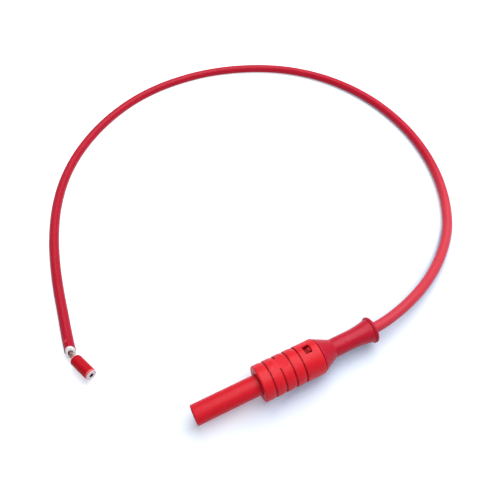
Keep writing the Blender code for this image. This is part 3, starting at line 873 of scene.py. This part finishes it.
def bared_path(cable_end, along, slug_start, slug_along):
    """The strands' way out of the stub, round the bend and into the slug."""
    sag = Vector((0.0, 0.0, -0.22 * MM))
    stub_end = cable_end + along * (SEAT_GAP + INSULATION_PROUD) + sag
    reach = (slug_start - stub_end).length / 3
    bend = []
    steps = 14
    for i in range(steps + 1):
        t = i / steps
        bend.append(
            (1 - t) ** 3 * stub_end
            + 3 * (1 - t) ** 2 * t * (stub_end + reach * along)
            + 3 * (1 - t) * t**2 * (slug_start - reach * slug_along)
            + t**3 * slug_start
        )
    inside_stub = 1.3 * MM
    inside_slug = 3.0 * MM
    lead_in = straight(stub_end - along * inside_stub, along, inside_stub, 4)[:-1]
    lead_out = straight(slug_start, slug_along, inside_slug, 6)[1:]
    return lead_in + bend + lead_out


def make_strands(path, finish):
    """Nineteen wires twisted in two layers round one, a few of them sprung loose where they are bare."""
    wire_r = 0.14 * MM
    wire_sides = 8
    twist = 11.0 * MM
    layers = ((0.0, 1), (0.29 * MM, 6), (0.57 * MM, 12))
    outermost = 12
    loose_share = 0.35
    picker = random.Random(5)
    bm = bmesh.new()
    side = (path[1] - path[0]).cross(Vector((0, 0, 1))).normalized()
    frames = []
    travelled = 0.0
    total = sum((b - a).length for a, b in zip(path, path[1:]))
    for i, place in enumerate(path):
        along = (path[min(i + 1, len(path) - 1)] - path[max(i - 1, 0)]).normalized()
        side = (side - side.dot(along) * along).normalized()
        if i:
            travelled += (place - path[i - 1]).length
        frames.append((place, side.copy(), side.cross(along), travelled))
    for reach, count in layers:
        for n in range(count):
            loose = 0.0
            if count == outermost and picker.random() < loose_share:
                loose = picker.uniform(0.12, 0.34) * MM
            start = 2 * math.pi * n / count + picker.uniform(-0.06, 0.06)
            wire = []
            for place, across, over, gone in frames:
                turn = start + 2 * math.pi * gone / twist
                swell = loose * math.sin(math.pi * gone / total) ** 2
                wire.append(place + (reach + swell) * (math.cos(turn) * across + math.sin(turn) * over))
            rings = sweep(bm, wire, lambda i, place, out: wire_r, wire_sides)
            skin(bm, rings)
            bm.faces.new(rings[0])
            bm.faces.new(list(reversed(rings[-1])))
    strands = add_object("strands", mesh_from("strands", bm), finish, angle=math.radians(60))
    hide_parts("bare_core")
    return strands


def new_material(name):
    made = bpy.data.materials.new(name)
    made.use_nodes = True
    return made


class Nodes:
    """A material's node tree with short calls to add and join its nodes."""

    def __init__(self, material):
        self.material = material
        self.tree = self.material.node_tree
        self.shader = self.tree.nodes["Principled BSDF"]
        self.place = self.add("ShaderNodeTexCoord").outputs["Object"]

    def add(self, kind, **settings):
        node = self.tree.nodes.new(kind)
        for key, value in settings.items():
            setattr(node, key, value)
        return node

    def join(self, source, target):
        self.tree.links.new(source, target)

    def noise(self, scale, detail=3.0, roughness=0.55):
        node = self.add("ShaderNodeTexNoise")
        node.inputs["Scale"].default_value = scale
        node.inputs["Detail"].default_value = detail
        node.inputs["Roughness"].default_value = roughness
        self.join(self.place, node.inputs["Vector"])
        return node.outputs["Fac"]

    def openness(self, reach):
        """How much of the air within reach is open, so that grooves and seams can be told from faces and
        given painted shade.
        """
        node = self.add("ShaderNodeAmbientOcclusion")
        node.samples = 8
        node.inputs["Distance"].default_value = reach
        return node.outputs["AO"]

    def ramp(self, factor, stops):
        node = self.add("ShaderNodeValToRGB")
        elements = node.color_ramp.elements
        while len(elements) < len(stops):
            elements.new(0.5)
        for element, (position, colour) in zip(elements, stops):
            element.position = position
            element.color = (*colour, 1.0)
        self.join(factor, node.inputs["Fac"])
        return node.outputs["Color"]

    def mix(self, factor, first, second, blend="MIX"):
        node = self.add("ShaderNodeMix", data_type="RGBA", blend_type=blend)
        sockets = (node.inputs[0], node.inputs[6], node.inputs[7])
        for value, socket in zip((factor, first, second), sockets):
            if isinstance(value, bpy.types.NodeSocket):
                self.join(value, socket)
            elif isinstance(value, tuple):
                socket.default_value = (*value, 1.0)
            else:
                socket.default_value = value
        return node.outputs[2]

    def math(self, operation, first, second):
        node = self.add("ShaderNodeMath", operation=operation)
        for value, socket in zip((first, second), node.inputs):
            if isinstance(value, bpy.types.NodeSocket):
                self.join(value, socket)
            else:
                socket.default_value = value
        return node.outputs[0]

    def spread(self, factor, low, high, new_low, new_high):
        node = self.add("ShaderNodeMapRange")
        for value, socket in zip((low, high, new_low, new_high), list(node.inputs)[1:5]):
            socket.default_value = value
        self.join(factor, node.inputs[0])
        return node.outputs[0]

    def bump(self, height, strength, distance, below=None):
        node = self.add("ShaderNodeBump")
        node.inputs["Strength"].default_value = strength
        node.inputs["Distance"].default_value = distance
        self.join(height, node.inputs["Height"])
        if below is not None:
            self.join(below, node.inputs["Normal"])
        return node.outputs["Normal"]


def plastic(name, colour, deep, roughness, grain_scale, grain_depth, specular):
    """Moulded plastic: a slightly uneven colour, painted shade in its grooves and seams, a fine eroded
    grain and softly uneven gloss.
    """
    nodes = Nodes(new_material(name))
    cloud = nodes.noise(140.0, 3.0)
    fleck = nodes.noise(grain_scale * 0.7, 2.0)
    base = nodes.ramp(cloud, ((0.3, deep), (0.7, colour)))
    speck = nodes.spread(fleck, 0.62, 0.78, 0.0, 0.35)
    # Painted shade: within 0.9 mm of other surfaces the colour darkens towards a deep red, for the shade
    # in grooves, seams and gaps between parts.
    open_air = nodes.openness(0.9 * MM)
    painted_shade_colour = (0.5 * deep[0], 0.15 * deep[1], 0.15 * deep[2])
    painted_shade_amount = nodes.spread(open_air, 0.35, 0.85, 1.0, 0.0)
    shaded = nodes.mix(painted_shade_amount, nodes.mix(speck, base, deep), painted_shade_colour)
    nodes.join(shaded, nodes.shader.inputs["Base Color"])
    handled = nodes.noise(420.0, 4.0)
    gloss = nodes.spread(handled, 0.3, 0.7, roughness - 0.05, roughness + 0.07)
    nodes.join(gloss, nodes.shader.inputs["Roughness"])
    wave = nodes.bump(nodes.noise(260.0, 2.0), 0.12, 0.12 * MM)
    grain = nodes.bump(nodes.noise(grain_scale, 3.0, 0.6), 0.35, grain_depth, wave)
    nodes.join(grain, nodes.shader.inputs["Normal"])
    nodes.shader.inputs["Specular IOR Level"].default_value = specular
    return nodes.material


def marked(finish, marks):
    """Small scuffs and specks, and patches of painted light, on a finish, each given by its place, its
    radius and its colour.
    """
    nodes = Nodes(finish)
    colour = nodes.shader.inputs["Base Color"].links[0].from_socket
    for spot, radius, tint in marks:
        from_spot = nodes.add("ShaderNodeVectorMath", operation="DISTANCE")
        nodes.join(nodes.place, from_spot.inputs[0])
        from_spot.inputs[1].default_value = spot
        inside = nodes.spread(from_spot.outputs["Value"], 0.6 * radius, radius, 1.0, 0.0)
        colour = nodes.mix(inside, colour, tint)
    nodes.join(colour, nodes.shader.inputs["Base Color"])


def metal(name, colour, tarnish, roughness, line_scale, line_stretch):
    """Plated or drawn metal with fine turning lines and a little tarnish."""
    nodes = Nodes(new_material(name))
    cloud = nodes.noise(900.0, 4.0)
    nodes.join(nodes.ramp(cloud, ((0.35, tarnish), (0.62, colour))), nodes.shader.inputs["Base Color"])
    stretch = nodes.add("ShaderNodeMapping")
    stretch.inputs["Scale"].default_value = line_stretch
    nodes.join(nodes.place, stretch.inputs["Vector"])
    lines = nodes.add("ShaderNodeTexNoise")
    lines.inputs["Scale"].default_value = line_scale
    lines.inputs["Detail"].default_value = 2.0
    nodes.join(stretch.outputs["Vector"], lines.inputs["Vector"])
    nodes.join(nodes.bump(lines.outputs["Fac"], 0.2, 0.02 * MM), nodes.shader.inputs["Normal"])
    gloss = nodes.spread(cloud, 0.3, 0.7, roughness + 0.12, roughness - 0.04)
    nodes.join(gloss, nodes.shader.inputs["Roughness"])
    nodes.shader.inputs["Metallic"].default_value = 1.0
    return nodes.material


def white_insulation():
    """White polymer dulled by handling, faintly stained near the cut."""
    nodes = Nodes(new_material("white_insulation"))
    stain = nodes.noise(1400.0, 4.0)
    white = nodes.ramp(stain, ((0.3, (0.92, 0.88, 0.88)), (0.5, (0.98, 0.98, 0.98))))
    nodes.join(white, nodes.shader.inputs["Base Color"])
    nodes.shader.inputs["Roughness"].default_value = 0.5
    nodes.join(nodes.bump(nodes.noise(5200.0, 3.0), 0.35, 0.03 * MM), nodes.shader.inputs["Normal"])
    return nodes.material


def looking_rays(tree):
    """One for rays that look at a thing straight, in a reflection or through glass, else nought."""
    rays = tree.nodes.new("ShaderNodeLightPath")
    looking = rays.outputs["Is Camera Ray"]
    for kind in ("Is Glossy Ray", "Is Transmission Ray"):
        either = tree.nodes.new("ShaderNodeMath")
        either.operation = "MAXIMUM"
        tree.links.new(looking, either.inputs[0])
        tree.links.new(rays.outputs[kind], either.inputs[1])
        looking = either.outputs[0]
    return looking


def make_floor():
    """A white floor that keeps the lead's shadow and adds painted shadow beside it, brought up to white
    where the camera looks at it.
    """
    bm = bmesh.new()
    bmesh.ops.create_grid(bm, x_segments=1, y_segments=1, size=1.5)
    floor = bpy.data.objects.new("floor", mesh_from("floor", bm))
    bpy.context.scene.collection.objects.link(floor)
    nodes = Nodes(new_material("floor"))
    seen = looking_rays(nodes.tree)
    # Painted shadow: close to the lead and on its -Y side, the floor seen by the camera darkens from
    # white through blue-grey to a deep violet-grey.
    near_lead = nodes.spread(nodes.openness(14.0 * MM), 0.45, 0.92, 1.0, 0.0)
    across = nodes.add("ShaderNodeVectorMath", operation="DOT_PRODUCT")
    nodes.join(nodes.place, across.inputs[0])
    across.inputs[1].default_value = (0.35, -1.0, 0.0)
    shaded_side = nodes.spread(across.outputs["Value"], -0.002, 0.006, 0.0, 1.0)
    open_floor = (0.90, 0.93, 0.96)
    half_shade = (0.66, 0.76, 0.90)
    full_shade = (0.28, 0.26, 0.35)
    looked_at = nodes.ramp(
        nodes.math("MULTIPLY", near_lead, shaded_side),
        ((0.0, open_floor), (0.6, half_shade), (1.0, full_shade)),
    )
    thrown_back = (0.74, 0.48, 0.62)
    nodes.join(nodes.mix(seen, thrown_back, looked_at), nodes.shader.inputs["Base Color"])
    nodes.shader.inputs["Roughness"].default_value = 0.9
    nodes.shader.inputs["Specular IOR Level"].default_value = 0.1
    # Painted light: the floor glows for looking rays, weakly and bluish near the lead, which tints its
    # shadow blue, and strongly white far off, which washes out the lead's far shadows.
    from_lead = nodes.add("ShaderNodeVectorMath", operation="DISTANCE")
    nodes.join(nodes.place, from_lead.inputs[0])
    from_lead.inputs[1].default_value = (0.075, 0.03, 0.0)
    far_off = nodes.spread(from_lead.outputs["Value"], 0.105, 0.17, 0.0, 1.0)
    glow = nodes.mix(far_off, (0.60, 0.80, 1.0), (1.0, 1.0, 1.0))
    nodes.join(glow, nodes.shader.inputs["Emission Color"])
    lift = nodes.spread(far_off, 0.0, 1.0, 0.27, 0.85)
    nodes.join(nodes.math("MULTIPLY", seen, lift), nodes.shader.inputs["Emission Strength"])
    floor.data.materials.append(nodes.material)


def make_light():
    world = bpy.data.worlds.new("studio")
    bpy.context.scene.world = world
    world.use_nodes = True
    tree = world.node_tree
    sky = tree.nodes["Background"]
    sky.inputs["Color"].default_value = (0.80, 0.87, 1.0, 1.0)
    sky.inputs["Strength"].default_value = 0.12
    backdrop = tree.nodes.new("ShaderNodeBackground")
    backdrop.inputs["Color"].default_value = (1.0, 1.0, 1.0, 1.0)
    backdrop.inputs["Strength"].default_value = 1.0
    chosen = tree.nodes.new("ShaderNodeMixShader")
    tree.links.new(looking_rays(tree), chosen.inputs[0])
    tree.links.new(sky.outputs[0], chosen.inputs[1])
    tree.links.new(backdrop.outputs[0], chosen.inputs[2])
    tree.links.new(chosen.outputs[0], tree.nodes["World Output"].inputs["Surface"])
    add_lamp(
        "ceiling",
        place=Vector((0.22, 0.12, 0.42)),
        aim=Vector((0.22, 0.12, 0.0)),
        size=(0.52, 0.58),
        watts=3.15,
    )
    add_lamp(
        "fill",
        place=Vector((-0.15, -0.30, 0.28)),
        aim=Vector((-0.02, 0.02, 0.0)),
        size=(0.30, 0.30),
        watts=0.16,
    )


def add_lamp(name, place, aim, size, watts):
    """A soft rectangular lamp pointed at a place on the floor."""
    lamp = bpy.data.lights.new(name, "AREA")
    lamp.shape = "RECTANGLE"
    lamp.size, lamp.size_y = size
    lamp.energy = watts
    made = bpy.data.objects.new(name, lamp)
    bpy.context.scene.collection.objects.link(made)
    made.location = place
    made.rotation_euler = (place - aim).to_track_quat("Z", "Y").to_euler()


def make_camera():
    data = bpy.data.cameras.new("photo_camera")
    data.sensor_width = SENSOR_WIDTH
    data.lens = CAMERA_LENS
    data.shift_x, data.shift_y = CAMERA_SHIFT
    data.clip_start = 0.005
    camera = bpy.data.objects.new("photo_camera", data)
    bpy.context.scene.collection.objects.link(camera)
    camera.location = CAMERA_PLACE
    camera.rotation_euler = (CAMERA_PITCH, 0.0, CAMERA_HEADING)
    bpy.context.scene.camera = camera


def dress_nodes(finishes):
    """The frame's own solids that stay in view, such as the carrier behind the latch windows, in painted
    shade.
    """
    for node, finish in (("contact_carrier", "carrier"), ("crimped_core", "strands")):
        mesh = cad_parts[node].data
        mesh.materials.clear()
        mesh.materials.append(finishes[finish])
    second_finish(
        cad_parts["contact_carrier"].data,
        finishes["latch"],
        Vector((0.0, 0.0, AXIS_HEIGHT)),
        Vector((1, 0, 0)),
        lambda gone, out: out > SEAT_R,
    )


def make_finishes():
    return {
        "grip": plastic(
            "grip_plastic",
            colour=(0.86, 0.012, 0.026),
            deep=(0.80, 0.008, 0.021),
            roughness=0.42,
            grain_scale=5200.0,
            grain_depth=0.02 * MM,
            specular=0.28,
        ),
        # Painted shade: the carrier is the grip's red darkened nearly to black, for the shade inside the
        # latch windows.
        "carrier": plastic(
            "carrier_painted_shade",
            colour=(0.30, 0.002, 0.004),
            deep=(0.26, 0.002, 0.003),
            roughness=0.5,
            grain_scale=5200.0,
            grain_depth=0.02 * MM,
            specular=0.2,
        ),
        # Painted shade: the latch is the grip's red darkened a little, for the shade it sits in within
        # the window.
        "latch": plastic(
            "latch_painted_shade",
            colour=(0.66, 0.010, 0.020),
            deep=(0.60, 0.008, 0.017),
            roughness=0.5,
            grain_scale=5200.0,
            grain_depth=0.02 * MM,
            specular=0.3,
        ),
        "sheath": plastic(
            "sheath_plastic",
            colour=(0.79, 0.006, 0.023),
            deep=(0.73, 0.005, 0.019),
            roughness=0.41,
            grain_scale=7000.0,
            grain_depth=0.012 * MM,
            specular=0.25,
        ),
        "boot": plastic(
            "boot_rubber",
            colour=(0.59, 0.003, 0.027),
            deep=(0.53, 0.002, 0.022),
            roughness=0.38,
            grain_scale=4200.0,
            grain_depth=0.012 * MM,
            specular=0.27,
        ),
        "jacket": plastic(
            "cable_jacket",
            colour=(0.56, 0.006, 0.030),
            deep=(0.51, 0.004, 0.026),
            roughness=0.36,
            grain_scale=3600.0,
            grain_depth=0.012 * MM,
            specular=0.18,
        ),
        "slug": plastic(
            "slug_jacket",
            colour=(0.64, 0.003, 0.014),
            deep=(0.58, 0.002, 0.011),
            roughness=0.46,
            grain_scale=3600.0,
            grain_depth=0.015 * MM,
            specular=0.18,
        ),
        # Painted shade: a near-black finish for the insides of the insulation's holes.
        "painted_bore_shade": plastic(
            "painted_bore_shade",
            colour=(0.05, 0.016, 0.014),
            deep=(0.03, 0.01, 0.01),
            roughness=0.7,
            grain_scale=3600.0,
            grain_depth=0.01 * MM,
            specular=0.1,
        ),
        "pale_rim": plastic(
            "pale_rim",
            colour=(0.90, 0.16, 0.17),
            deep=(0.84, 0.11, 0.12),
            roughness=0.5,
            grain_scale=3600.0,
            grain_depth=0.02 * MM,
            specular=0.35,
        ),
        "insulation": white_insulation(),
        "strands": metal(
            "bare_strands",
            colour=(0.56, 0.37, 0.33),
            tarnish=(0.30, 0.17, 0.15),
            roughness=0.42,
            line_scale=2600.0,
            line_stretch=(1.0, 1.0, 1.0),
        ),
        "nickel": metal(
            "nickel_plate",
            colour=(0.66, 0.61, 0.53),
            tarnish=(0.50, 0.45, 0.38),
            roughness=0.2,
            line_scale=300.0,
            line_stretch=(30.0, 1.0, 1.0),
        ),
        "spring_steel": metal(
            "spring_wire",
            colour=(0.62, 0.62, 0.63),
            tarnish=(0.5, 0.5, 0.5),
            roughness=0.22,
            line_scale=1800.0,
            line_stretch=(1.0, 1.0, 1.0),
        ),
    }


def build():
    bpy.context.scene.view_settings.view_transform = "Standard"
    finishes = make_finishes()
    make_grip(finishes["grip"])
    make_sheath(finishes["sheath"])
    make_boot(finishes["boot"])
    make_pin(finishes["nickel"])
    make_cage(finishes["nickel"])
    make_spring(finishes["spring_steel"])
    cable, path = make_cable(finishes["jacket"])
    on_cable = make_stripped_end(path, finishes)
    dress_nodes(finishes)
    make_floor()
    make_light()
    make_camera()


build()
